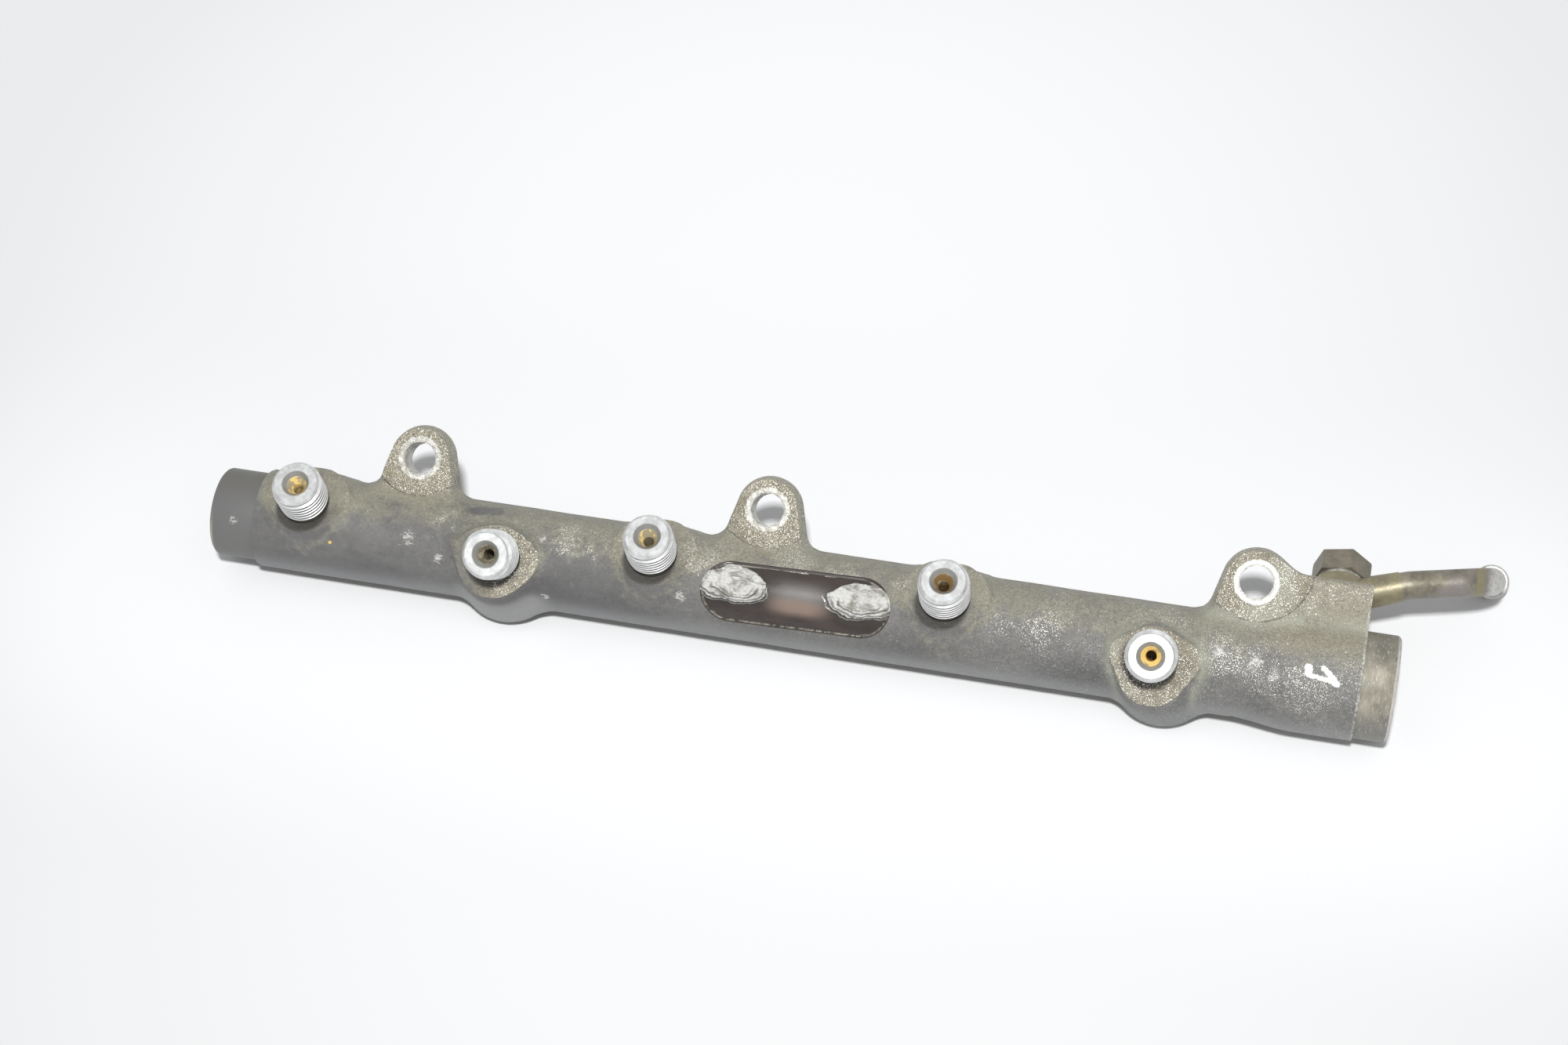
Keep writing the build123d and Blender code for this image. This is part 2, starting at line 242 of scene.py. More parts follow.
def forging(p, with_fill=False):
    """Signed distance to the forged body before it is machined, or the share of fill in its roots. p is (n, 3)."""
    x = p[:, 0]
    u = p @ LUG_OUT
    w = p @ LOWER_OUT
    flash = np.clip(1.5 - np.abs(w) / (FLASH_WIDTH / 2), 0, 1) * (np.abs(u) > 5) * (x < TAPER_START)
    d = np.hypot(p[:, 1], p[:, 2]) - barrel_radius(x) - flash * FLASH_HEIGHT
    bare = d.copy()

    def join(near, shape, width=ROOT_BLEND):
        bare[near] = np.minimum(bare[near], shape)
        d[near] = smooth_min(d[near], shape, width)

    for station in UPPER_STATIONS:
        near = np.abs(x - station) < NIPPLE_WINDOW
        h = p[near] @ UPPER_OUT
        outline = hull_distance(x[near] - station, p[near] @ UPPER_SIDE, UPPER_PAD)
        boss = outline - np.clip(SPOTFACE - h, 0, UPPER_SLOPE_END) * UPPER_SLOPE
        join(near, np.maximum(boss, BURIED - h))
    for station, pad, lean_x, lean_side in LOWER_BOSSES:
        near = np.abs(x - station) < LOWER_WINDOW
        boss = lower_boss(x[near] - station, w[near], u[near], pad, lean_x, lean_side)
        join(near, boss, np.interp(u[near], *LOWER_ROOTS))
    top = LUG_FACE + LUG_STOCK
    for station in LUG_STATIONS:
        near = np.abs(x - station) < LUG_WINDOW
        outline = hull_distance(x[near] - station, u[near], LUG_PAD) + np.abs(w[near]) * tan(radians(LUG_DRAFT))
        slab = np.abs(w[near] - (top - LUG_BACK) / 2) - (top + LUG_BACK) / 2
        join(near, smooth_max(outline, slab, EDGE_BLEND))
    near = np.abs(x - WEB_X) < LUG_WINDOW
    q = p[near]
    slab = np.abs(w[near] - (top - WEB_BACK) / 2) - (top + WEB_BACK) / 2
    web = smooth_max(u[near] - WEB_REACH, slab, WEB_EDGE)
    web = np.maximum(web, np.maximum(LUG_STATIONS[2] - q[:, 0], BURIED - u[near]))
    port = np.maximum(return_off(q) - RETURN_BOSS_R, np.maximum(return_along(q) - RETURN_FACE, -return_along(q)))
    join(near, smooth_min(web, port, RETURN_BLEND))
    if with_fill:
        return np.clip(bare - d, 0, 1)

    d += sum(height * lumps(p, size, seed) for size, height, seed in UNEVENNESS)
    for station, out in NIPPLES:
        near = np.abs(x - station) < NIPPLE_WINDOW
        h = p[near] @ out
        off = np.sqrt(np.maximum((p[near] ** 2).sum(1) - 2 * station * x[near] + station**2 - h**2, 0))
        d[near] = np.maximum(d[near], np.minimum(h - SPOTFACE, FACING_R - off))
    near = np.abs(x - RETURN_X) < PORT_WINDOW
    faced = np.maximum(return_off(p[near]) - RETURN_CUTTER_R, RETURN_FACE - return_along(p[near]))
    d[near] = np.maximum(d[near], -faced)
    d = np.maximum(d, -p[:, 2] - HOUSING_R + 0.01)
    return np.maximum(d, np.maximum(LEFT_COLLAR - x, x - BODY_END))


def label_distance(along, across):
    """Distance to the label's obround outline, in its own plane."""
    return np.hypot(np.maximum(np.abs(along) - LABEL_STRAIGHT, 0), across) - LABEL_HEIGHT / 2


def machined(p):
    """The forging with its milled lugs, the hollow under each nipple and the label's recess taken out."""
    d = forging(p)
    x = p[:, 0]
    u = p @ LUG_OUT
    w = p @ LOWER_OUT
    for station in LUG_STATIONS:
        cutter = np.hypot(x - station, u - LUG_DISTANCE - LUG_CUTTER_OFFSET) - LUG_CUTTER_R
        d = np.maximum(d, -np.maximum(cutter, LUG_FACE - w))
        d = np.maximum(d, LUG_HOLE_R - np.hypot(x - station, u - LUG_DISTANCE))
    for station, out in NIPPLES:
        h = p @ out
        off = np.linalg.norm(p - np.outer(h, out) - station * ALONG, axis=1)
        d = np.maximum(d, -np.maximum(off - HOLLOW_R, HOLLOW_START - h))
    turn = radians(LABEL_SLANT)
    along = (x - LABEL_X) * cos(turn) + u * sin(turn)
    outline = label_distance(along, u * cos(turn) - (x - LABEL_X) * sin(turn))
    floor_level = np.hypot(p[:, 1], p[:, 2]) - (TUBE_R - LABEL_DEPTH)
    return np.maximum(d, -np.maximum(outline, np.maximum(-floor_level, LABEL_LOWEST - w)))


# Meshing

def slopes(field, points, base):
    small = 0.01
    return np.stack([(field(points + small * e) - base) / small for e in np.eye(3)], 1)


def contour(field, low, high, step):
    """Dual contour of a signed distance: one vertex in each crossed cell, placed on edges where faces meet."""
    low, high = np.array(low, float), np.array(high, float)
    count = np.ceil((high - low) / step).astype(int) + 1
    axes = [low[i] + step * np.arange(count[i]) for i in range(3)]
    value = np.empty(count)
    y, z = np.meshgrid(axes[1], axes[2], indexing="ij")
    for i in range(0, count[0], 8):
        xs = axes[0][i:i + 8]
        p = np.stack([np.repeat(xs, y.size), np.tile(y.ravel(), len(xs)), np.tile(z.ravel(), len(xs))], 1)
        value[i:i + 8] = field(p).reshape(len(xs), *y.shape)
    inside = value < 0
    cells = tuple(count - 1)
    used = np.zeros(cells, bool)
    edges = []
    for axis in range(3):
        a, b = [slice(None)] * 3, [slice(None)] * 3
        a[axis], b[axis] = slice(0, -1), slice(1, None)
        others = [i for i in range(3) if i != axis]
        for other in others:
            a[other] = b[other] = slice(1, count[other] - 1)
        cross = inside[tuple(a)] != inside[tuple(b)]
        spots = np.argwhere(cross)
        for other in others:
            spots[:, other] += 1
        ends = spots.copy()
        ends[:, axis] += 1
        va, vb = value[tuple(spots.T)], value[tuple(ends.T)]
        points = low + step * spots
        points[:, axis] += step * va / (va - vb)
        corners = []
        for i, j in ((0, 0), (1, 0), (1, 1), (0, 1)):
            c = spots.copy()
            c[:, others[0]] -= 1 - i
            c[:, others[1]] -= 1 - j
            used[tuple(c.T)] = True
            corners.append(c)
        edges.append((points, corners, inside[tuple(spots.T)], axis))
    index = np.full(cells, -1)
    index[used] = np.arange(used.sum())
    total = used.sum()
    mean, hits = np.zeros((total, 3)), np.zeros(total)
    matrix, right = np.zeros((total, 3, 3)), np.zeros((total, 3))
    quads = []
    for points, corners, start_inside, axis in edges:
        normal = slopes(field, points, field(points))
        normal /= np.maximum(np.linalg.norm(normal, axis=1, keepdims=True), 1e-6)
        outer = normal[:, :, None] * normal[:, None, :]
        reach = (normal * points).sum(1)
        ids = []
        for c in corners:
            v = index[tuple(c.T)]
            ids.append(v)
            np.add.at(mean, v, points)
            np.add.at(hits, v, 1)
            np.add.at(matrix, v, outer)
            np.add.at(right, v, normal * reach[:, None])
        quad = np.stack(ids, 1)
        flip = start_inside if axis != 1 else ~start_inside
        quad[~flip] = quad[~flip][:, ::-1]
        quads.append(quad)
    mean /= hits[:, None]
    weak = 0.06
    system = matrix + weak * np.eye(3)
    points = np.linalg.solve(system, (right + weak * mean)[:, :, None])[:, :, 0]
    cell_low = low + step * np.argwhere(used)
    points = np.clip(points, cell_low, cell_low + step)
    return points, np.concatenate(quads)


def mesh_piece(name, points, faces, material, smooth_angle, marks=None):
    """Mesh piece of the rail's body. marks are named values by vertex."""
    mesh = bpy.data.meshes.new(name)
    mesh.from_pydata((np.asarray(points, float) * MM).tolist(), [], [list(map(int, f)) for f in faces])
    for mark, numbers in (marks or {}).items():
        layer = mesh.attributes.new(mark, "FLOAT", "POINT")
        layer.data.foreach_set("value", np.asarray(numbers, np.float32))
    mesh.validate()
    mesh.materials.append(material)
    piece = bpy.data.objects.new(name, mesh)
    bpy.context.scene.collection.objects.link(piece)
    mesh.shade_smooth()
    mesh.set_sharp_from_angle(angle=radians(smooth_angle))
    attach(piece, "root")
    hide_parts("rail_body")


def place(points, origin, out, side=ALONG):
    """Points given as (side, third, out) are moved to that origin and direction."""
    third = np.cross(out, side)
    points = np.asarray(points, float)
    return origin + points[:, :1] * side + points[:, 1:2] * third + points[:, 2:] * out


def lathe(profile, turns=96):
    """Revolves (radius, height) points about the third axis, and returns points and quads."""
    angle = 2 * pi * np.arange(turns) / turns
    points = [(r * cos(a), r * sin(a), h) for r, h in profile for a in angle]
    faces = []
    for i in range(0, (len(profile) - 1) * turns, turns):
        for k in range(turns):
            n = (k + 1) % turns
            faces.append((i + k, i + n, i + turns + n, i + turns + k))
    return points, faces


def joined(*parts):
    """Points and faces of several parts as one."""
    points, faces = [], []
    for some_points, some_faces in parts:
        shift = len(points)
        points += list(some_points)
        faces += [[v + shift for v in f] for f in some_faces]
    return points, faces


def thread_wall(low, high, limit, crest, depth, pitch, turns=96):
    """Sheared grid of a helical thread between two heights. limit(height) caps its radius."""
    shape = ((0.0, 0.0), (0.12, 0.0), (0.46, 1.0), (0.60, 1.0), (0.94, 0.0))
    laps = int((high - low) / pitch) + 3
    rows = [(lap + share, rise) for lap in range(-1, laps) for share, rise in shape]
    points = []
    for turn, rise in rows:
        for k in range(turns + 1):
            h = min(max(low + (turn + k / turns - 0.5) * pitch, low), high)
            lead = min(1.0, (h - low) / (0.8 * pitch))
            r = min(crest - depth + depth * rise * lead, limit(h))
            a = 2 * pi * k / turns
            points.append((r * cos(a), r * sin(a), h))
    faces = []
    width = turns + 1
    for i in range(len(rows) - 1):
        for k in range(turns):
            a, b = i * width + k, i * width + k + 1
            c, d = b + width, a + width
            corners = {}
            for v in (a, b, c, d):
                corners.setdefault(tuple(round(number, 6) for number in points[v]), v)
            if len(corners) > 2 and len({corner[2] for corner in corners}) > 1:
                faces.append(tuple(corners.values()))
    return points, faces


# Materials

class Look:
    """Short calls for one material's nodes. Lengths are in millimetres of the model's own space."""

    def __init__(self, name):
        self.material = bpy.data.materials.new(name)
        self.material.use_nodes = True
        self.tree = self.material.node_tree
        self.shader = self.tree.nodes["Principled BSDF"]
        self.place = self.vector("SCALE", self.new("ShaderNodeTexCoord").outputs["Object"], scale=1 / MM)
        self.x, self.y, self.z = self.new("ShaderNodeSeparateXYZ", {"Vector": self.place}).outputs
        self.color = None

    @cached_property
    def across(self):
        """Place across the rail, towards the lugs."""
        return self.dot(LUG_OUT)

    def new(self, kind, values=None, **settings):
        node = self.tree.nodes.new(kind)
        for key, value in settings.items():
            setattr(node, key, value)
        for key, value in (values or {}).items():
            self.set(node.inputs[key], value)
        return node

    def set(self, socket, value):
        if isinstance(value, bpy.types.NodeSocket):
            self.tree.links.new(value, socket)
        elif value is not None:
            socket.default_value = value

    def math(self, operation, a, b=None):
        return self.new("ShaderNodeMath", {0: a, 1: b}, operation=operation).outputs[0]

    def vector(self, operation, a, b=None, scale=None):
        values = {0: a, "Scale": scale} if operation == "SCALE" else {0: a, 1: b}
        node = self.new("ShaderNodeVectorMath", values, operation=operation)
        return node.outputs["Value" if operation in ("LENGTH", "DOT_PRODUCT", "DISTANCE") else "Vector"]

    def mark(self, name):
        """Value that the mesh carries by vertex."""
        return self.new("ShaderNodeAttribute", attribute_name=name).outputs["Fac"]

    def dot(self, direction):
        return self.vector("DOT_PRODUCT", self.place, tuple(direction))

    def distance(self, spot):
        return self.vector("DISTANCE", self.place, spot)

    def lug_distance(self, station, across):
        """Distance from an axis that stands square on the parting plane."""
        pair = {0: self.math("SUBTRACT", self.x, station), 1: self.math("SUBTRACT", self.across, across)}
        return self.vector("LENGTH", self.new("ShaderNodeCombineXYZ", pair).outputs[0])

    def capsule(self, start, end):
        """Distance to the stretch between two points."""
        start, end = Vector(start), Vector(end)
        run = end - start
        from_start = self.vector("SUBTRACT", self.place, tuple(start))
        share = self.math("DIVIDE", self.vector("DOT_PRODUCT", from_start, tuple(run)), run.length_squared)
        nearest = self.vector("SCALE", tuple(run), scale=self.clamp(share))
        return self.vector("LENGTH", self.vector("SUBTRACT", from_start, nearest))

    def noise(self, size, detail=3.0, rough=0.55, stretch=(1, 1, 1), shift=0.0, warp=0.0):
        """Noise between 0 and 1, with lumps about that many millimetres across."""
        scale = tuple(1 / (size * s) for s in stretch)
        spot = self.new("ShaderNodeVectorMath", {0: self.place, 1: scale, 2: (shift, shift, shift)},
                        operation="MULTIPLY_ADD").outputs["Vector"]
        values = {"Vector": spot, "Scale": 1.0, "Detail": detail, "Roughness": rough, "Distortion": warp}
        return self.new("ShaderNodeTexNoise", values).outputs["Fac"]

    def step(self, value, low, high):
        """0 below low, 1 above high, smooth between. With low above high it falls instead."""
        node = self.new("ShaderNodeMapRange", {"Value": value, "From Min": low, "From Max": high},
                        interpolation_type="SMOOTHSTEP")
        return node.outputs[0]

    def around(self, value, target, outer, inner):
        """1 where the value is within inner of the target, 0 from outer on."""
        return self.step(self.math("ABSOLUTE", self.math("SUBTRACT", value, target)), outer, inner)

    def clamp(self, value, low=0.0):
        return self.new("ShaderNodeClamp", {"Value": value, "Min": low}).outputs[0]

    def vary(self, value, noise, amount):
        """The value moved up and down by a noise."""
        return self.total(value, (self.math("SUBTRACT", noise, 0.5), amount))

    def total(self, value, *scaled):
        """The value plus each of the others times its factor."""
        for other, factor in scaled:
            value = self.math("ADD", value, self.math("MULTIPLY", other, factor))
        return value

    def product(self, *values):
        return reduce(lambda a, b: self.math("MULTIPLY", a, b), values)

    def most(self, *values):
        return reduce(lambda a, b: self.math("MAXIMUM", a, b), values)

    def least(self, *values):
        return reduce(lambda a, b: self.math("MINIMUM", a, b), values)

    def blend(self, share, a, b):
        return self.new("ShaderNodeMix", {0: share, 2: a, 3: b}, data_type="FLOAT").outputs[0]

    def mix(self, share, a, b):
        node = self.new("ShaderNodeMix", data_type="RGBA")
        for socket, value in ((node.inputs[0], share), (node.inputs[6], a), (node.inputs[7], b)):
            self.set(socket, (*value, 1) if isinstance(value, tuple) else value)
        return node.outputs[2]

    def coat(self, color, *masks):
        """Lays a colour over what is there, as far as the product of the masks says."""
        self.color = self.mix(self.product(*masks), self.color, color)

    def bump(self, height, distance, normal=None):
        """Bump whose height of 1 is that many millimetres."""
        values = {"Height": height, "Distance": distance * MM, "Strength": 1.0, "Normal": normal}
        return self.new("ShaderNodeBump", values).outputs["Normal"]

    def finish(self, rough, metal, normal=None):
        values = {"Base Color": self.color, "Roughness": rough, "Metallic": metal, "Normal": normal}
        for name, value in values.items():
            self.set(self.shader.inputs[name], value)
        return self.material


# Colours, as linear values
DARK_GREY = (0.094, 0.093, 0.094)
MID_GREY = (0.222, 0.219, 0.208)
OLIVE_DIRT = (0.315, 0.302, 0.228)
WARM_DIRT = (0.365, 0.335, 0.250)
DUST = (0.50, 0.48, 0.40)
FACE_BROWN = (0.190, 0.165, 0.108)
FACE_KHAKI = (0.345, 0.310, 0.215)
RIGHT_FACE_BROWN = (0.190, 0.162, 0.105)
SPECKLE_BROWN = (0.170, 0.148, 0.105)
ROOT_HIGHLIGHT = (0.400, 0.405, 0.325)
WORN_EDGE = (0.62, 0.61, 0.56)
UNDERSIDE_OLIVE = (0.105, 0.105, 0.078)
FLASH_FACET_LIGHT = (0.36, 0.365, 0.355)
SHOULDER_GREY = (0.29, 0.295, 0.30)
FLANK_GREY = (0.36, 0.362, 0.352)
FOOT_SHADOW_BLACK = (0.030, 0.028, 0.022)
BLUISH_GREY = (0.095, 0.098, 0.112)
SPARK = (0.94, 0.92, 0.84)
SCUFF = (0.66, 0.65, 0.62)
PRINT_DULL = (0.42, 0.405, 0.350)
PRINT_BRIGHT = (0.72, 0.715, 0.68)
HOLE_EDGE = (0.25, 0.24, 0.21)
WHITE_PAINT = (0.86, 0.86, 0.85)
YELLOW_SPECK = (0.80, 0.58, 0.13)

# Where the marks of wear are: place and radius
COLLAR_SCUFF = ((6.98, -9.04, 8.64), 3.4)
SCUFF_SPOTS = (
    ((58.3, -7.9, 11.1), 3.8),
    ((67.7, -11.1, 7.9), 3.0),
    ((96.0, -3.0, 13.3), 2.8),
    ((98.4, -13.5, 1.5), 2.2),
    ((136.9, -11.2, 7.9), 3.4),
    ((283.2, -5.9, 12.4), 3.8),
    ((292.8, -7.7, 12.8), 4.6),
    ((298.3, -10.1, 11.5), 3.2),
)
GRAIN_SPOTS = (
    ((101.4, -4.0, 13.0), 11.0),
    ((110.0, -5.2, 12.6), 9.0),
    ((67.6, -4.0, 13.1), 8.0),
    ((62.0, 11.0, 11.5), 7.0),
    ((139.8, 0.1, 13.6), 8.0),
    ((139.6, -5.9, 12.3), 6.5),
    ((166.0, 12.0, 10.0), 9.0),
    ((165.6, 0.9, 13.6), 10.0),
    ((182.4, -0.9, 13.6), 9.0),
    ((196.3, -0.2, 13.6), 4.0),
    ((236.2, -7.2, 11.6), 8.0),
    ((283.2, -5.9, 12.4), 8.0),
    ((295.6, -11.4, 9.7), 7.0),
    ((306.0, -11.9, 9.6), 9.0),
)
# Start, end and half width
PAINT_STROKES = (
    ((306.9, -7.3, 13.5), (307.2, -8.6, 12.8), 1.05),
    ((311.0, -7.0, 13.7), (314.2, -9.2, 12.3), 0.72),
    ((307.8, -8.9, 12.5), (314.4, -9.7, 11.9), 0.62),
    ((313.2, -8.9, 12.5), (314.8, -9.9, 11.7), 0.95),
    ((303.2, -7.6, 13.3), (303.5, -8.1, 13.0), 0.25),
)
DARK_PATCH = ((75.5, 3.4, 13.2), (81.0, 4.4, 13.0))
SPECK_SPOT = (36.2, -11.2, 7.9)
# Bare metal on each spotface, from the left, and on the lug faces
SPOTFACE_BARENESS = (0.22, 0.95, 0.32, 0.18, 0.84)
LUG_BARENESS = 0.85


def machined_faces(look):
    """Share of bare metal on the spotfaces and the milled lug faces, and distance to the lugs' milled step."""
    shares, seams = [], []

    def add(normal, level, near, amount):
        shares.append(look.product(look.around(look.dot(normal), level, 0.14, 0.07), near, amount))

    for (station, out), bareness in zip(NIPPLES, SPOTFACE_BARENESS):
        if station == LOWER_LEFT:
            bareness = look.product(look.blend(look.step(look.x, station - 7, station + 3), 0.3, 1.0), bareness)
        add(out, SPOTFACE, look.around(look.x, station, 17.0, 16.8), bareness)
    for station in LUG_STATIONS:
        off = look.lug_distance(station, LUG_DISTANCE + LUG_CUTTER_OFFSET)
        add(LOWER_OUT, LUG_FACE, look.step(off, LUG_CUTTER_R + 0.05, LUG_CUTTER_R - 0.1), LUG_BARENESS)
        seams.append(look.math("ABSOLUTE", look.math("SUBTRACT", off, LUG_CUTTER_R)))
    return look.most(*shares), look.least(*seams)


def painted_foot_shadow(look):
    """Painted shadow round the foot of each nipple, more of it towards the lower left."""
    rings = []
    for station, out in NIPPLES:
        from_foot = look.vector("SUBTRACT", look.place, tuple((station - 0.9) * ALONG - 1.8 * LUG_OUT))
        off = look.vector("LENGTH", look.vector("CROSS_PRODUCT", from_foot, tuple(out)))
        rings.append(look.product(look.step(off, 8.1, 6.5), look.step(look.dot(out), SPOTFACE - 0.4, SPOTFACE - 0.1)))
    return look.most(*rings)


def spots(look, marks, reach=1.0):
    """1 in the middle of each mark, fading out at its radius times reach."""
    return look.most(*[look.step(look.distance(spot), size * reach, 0.0) for spot, size in marks])


def forged_look():
    look = Look("forged_steel_worn")
    x, across = look.x, look.across
    level = look.dot(LOWER_OUT)
    fill = look.mark("fill")
    lug = look.mark("lug")
    face, seam = machined_faces(look)
    broad = look.noise(24, 4, 0.6, (2.2, 1, 1))
    blotch = look.noise(6, 6, 0.68, shift=3.1)
    small = look.noise(2.2, 5, 0.7, shift=11.3)
    fine = look.noise(0.8, 4, 0.75, shift=7.7)
    grain = look.noise(0.30, 2, 0.7, shift=1.3)
    rightward = look.step(x, 60.0, 290.0)
    web = look.product(look.step(x, 286.0, 300.0), look.step(across, 2.0, 11.0))

    # Phosphated grey, darker at the left and along the lower side
    tone = look.total(broad, (rightward, 0.20), (look.step(across, -13.0, 8.0), 0.22))
    tone = look.vary(tone, small, look.blend(rightward, 0.38, 0.55))
    look.color = look.mix(look.step(tone, 0.36, 1.05), DARK_GREY, MID_GREY)

    # Olive dirt on the upper side and in the roots of bosses and lugs, warmer on the lugs and the web
    dirt = look.total(look.product(look.step(across, -3.0, 9.5), 0.72), (fill, 0.38), (look.step(x, 60, 110), 0.10))
    dirt = look.step(look.vary(look.vary(dirt, blotch, 1.6), small, 0.9), 0.22, 1.0)
    look.coat(OLIVE_DIRT, dirt, 0.9)
    warm = look.total(look.product(look.step(x, 262.0, 300.0), 0.03), (look.most(lug, web), 0.50))
    warm = look.vary(warm, look.noise(8, 6, 0.72, shift=5.5), 1.0)
    look.coat(WARM_DIRT, look.step(warm, 0.08, 0.60), 0.8)

    # Machined faces, and specks over everything
    faded = look.mix(look.step(look.noise(3.2, 6, 0.72, shift=19.0), 0.36, 0.62), FACE_BROWN, FACE_KHAKI)
    look.coat(faded, face, look.step(small, 0.20, 0.46))
    look.coat(DARK_GREY, look.step(fine, 0.46, 0.66), look.blend(look.step(x, 52, 66), 0.26, 0.50))
    speckle = look.step(look.noise(0.5, 3, 0.75, shift=27.0), 0.50, 0.60)
    look.coat(SPECKLE_BROWN, speckle, look.most(face, lug, web), 0.55)
    look.coat(RIGHT_FACE_BROWN, face, look.step(x, 262.0, 280.0), 0.35)
    powder = look.step(look.noise(0.6, 3, 0.8, shift=17.0), 0.50, 0.66)
    look.coat(DUST, powder, look.most(dirt, face, look.product(rightward, 0.6)), 0.42)
    look.coat(DARK_GREY, look.step(look.noise(15, 6, 0.78, (1.6, 1, 1), shift=14.0), 0.58, 0.72), 0.55)
    # Painted highlight along the roots on the right, in patches
    look.coat(ROOT_HIGHLIGHT, fill, look.step(x, 240, 262), look.step(blotch, 0.28, 0.52), 0.75)

    # Painted shade along the milled step of the lugs, and wear on the edge at the right collar
    step_shade = look.product(look.step(seam, 0.55, 0.15), look.around(level, LUG_FACE + 0.3, 1.0, 0.6))
    look.coat(DARK_GREY, step_shade, look.step(look.noise(3, 3, 0.6, shift=21.0), 0.36, 0.52), 0.6)
    brim = look.step(x, BODY_END - 0.9, BODY_END - 0.4)
    look.coat(WORN_EDGE, brim, look.step(look.noise(1.2, 4, 0.75, shift=23.0), 0.42, 0.56), 0.6)

    # Dark olive below the parting line, painted light on the flash, and lighter on the shoulder above it
    look.coat(UNDERSIDE_OLIVE, look.step(level, -0.5, -1.1), look.step(across, 2.0, -6.0), 0.72)
    look.coat(FLASH_FACET_LIGHT, look.around(level, 0.3, 1.0, 0.35), look.step(across, -11.5, -12.8), 0.75)
    above = look.step(level, 0.6, 1.3)
    look.coat(SHOULDER_GREY, above, look.step(level, 11.0, 5.0), look.step(across, -6.0, -11.0), 0.55)
    flank = look.product(above, look.step(level, 13.0, 9.0), look.step(across, -8.0, -11.0))
    look.coat(FLANK_GREY, flank, look.around(x, LOWER_LEFT + 1, 16.0, 8.0), 0.6)
    # Painted shadow round the foot of each nipple
    look.coat(FOOT_SHADOW_BLACK, painted_foot_shadow(look), 0.86)
    look.coat(BLUISH_GREY, look.step(look.total(look.capsule(*DARK_PATCH), (small, 2.4)), 3.6, 2.6), 0.62)

    # Bare grains where the coating has worn through
    side = look.product(rightward, look.blend(look.step(across, -12.0, -4.0), 0.56, 0.74))
    worn = look.most(side, look.product(face, 1.1), lug, look.product(dirt, 0.64))
    worn = look.vary(worn, look.noise(10, 5, 0.7, shift=9.1), 1.7)
    worn = look.math("ADD", worn, look.product(spots(look, GRAIN_SPOTS), look.step(blotch, 0.30, 0.62)))
    limit = look.blend(look.clamp(worn), 0.80, 0.57)
    sparks = look.step(look.math("SUBTRACT", grain, limit), -0.01, 0.05)
    look.coat(SPARK, sparks, 0.82)

    streaks = look.noise(0.7, 5, 0.8, (2.2, 1, 1), shift=2.2, warp=0.6)
    rubbed = look.step(look.total(streaks, (spots(look, SCUFF_SPOTS, 1.25), 0.27)), 0.70, 0.79)
    look.coat(SCUFF, rubbed, 0.8)

    # Print of the bolt heads round the lug holes, cleanest on the right lug
    off = look.least(*[look.lug_distance(station, LUG_DISTANCE) for station in LUG_STATIONS])
    ragged = look.vary(off, look.noise(1.4, 4, 0.7), 1.3)
    patchy = look.step(look.noise(0.8, 4, 0.75, shift=4), 0.20, 0.42)
    prints = look.product(look.step(ragged, PRINT_R + 0.1, PRINT_R - 0.25), patchy)
    clean = look.total(look.noise(1.7, 5, 0.72, shift=12.0), (look.step(x, 250.0, 260.0), 0.4))
    look.coat(look.mix(look.step(clean, 0.40, 0.60), PRINT_DULL, PRINT_BRIGHT), prints, 0.93)
    look.coat(HOLE_EDGE, look.around(off, LUG_HOLE_R + 0.28, 0.30, 0.12), 0.5)

    bright = look.most(sparks, look.product(prints, 0.8), look.product(rubbed, 0.4))
    rough = look.blend(bright, look.blend(blotch, 0.40, 0.60), 0.34)
    height = look.total(look.product(fine, 0.6), (grain, 0.4))
    normal = look.bump(height, 0.24, look.bump(small, 0.26))

    dab = look.least(*[look.math("SUBTRACT", look.capsule(a, b), width) for a, b, width in PAINT_STROKES])
    paint = look.step(look.vary(dab, look.noise(1.0, 4, 0.7, shift=8), 1.5), 0.08, -0.08)
    look.coat(WHITE_PAINT, paint)
    look.coat(YELLOW_SPECK, look.step(look.distance(SPECK_SPOT), 0.75, 0.45))
    metal = look.product(bright, 0.5, look.math("SUBTRACT", 1.0, paint))
    return look.finish(look.blend(paint, rough, 0.5), metal, normal)


def zinc_look(name, cone_color, bottom_color, cone_share):
    """Zinc-plated nipple: grime and painted shade in the thread's valleys and undercut, grey ring in the mouth,
    stained cone.
    """
    look = Look(name)
    blotch = look.noise(2.6, 5, 0.65)
    fine = look.noise(0.5, 3, 0.6, shift=4.4)
    look.color = look.mix(look.step(blotch, 0.3, 0.75), (0.50, 0.505, 0.50), (0.78, 0.785, 0.78))
    # Grime and painted shade in the thread's valleys and the undercut
    dirt_and_shade = look.step(look.vary(look.mark("grime_and_shade"), blotch, 0.4), 0.10, 0.42)
    look.coat((0.050, 0.047, 0.038), dirt_and_shade, 0.95)
    look.coat((0.25, 0.24, 0.22), look.step(look.noise(0.9, 3, 0.7, shift=9.3), 0.66, 0.72), 0.5)
    look.coat((0.235, 0.232, 0.215), look.mark("band"), 0.85)
    seat = look.step(look.vary(look.mark("cone"), fine, 0.25), 0.45, 0.62)
    patch = look.step(look.math("ADD", look.noise(2.4, 3, 0.6, shift=5), cone_share), 0.52, 0.62)
    look.coat(look.mix(patch, bottom_color, cone_color), seat)
    metal = look.blend(look.most(look.product(dirt_and_shade, 0.8), seat), 0.6, 0.1)
    rough = look.blend(dirt_and_shade, look.blend(fine, 0.30, 0.46), 0.62)
    return look.finish(rough, metal, look.bump(look.total(fine, (blotch, 1.5)), 0.03))


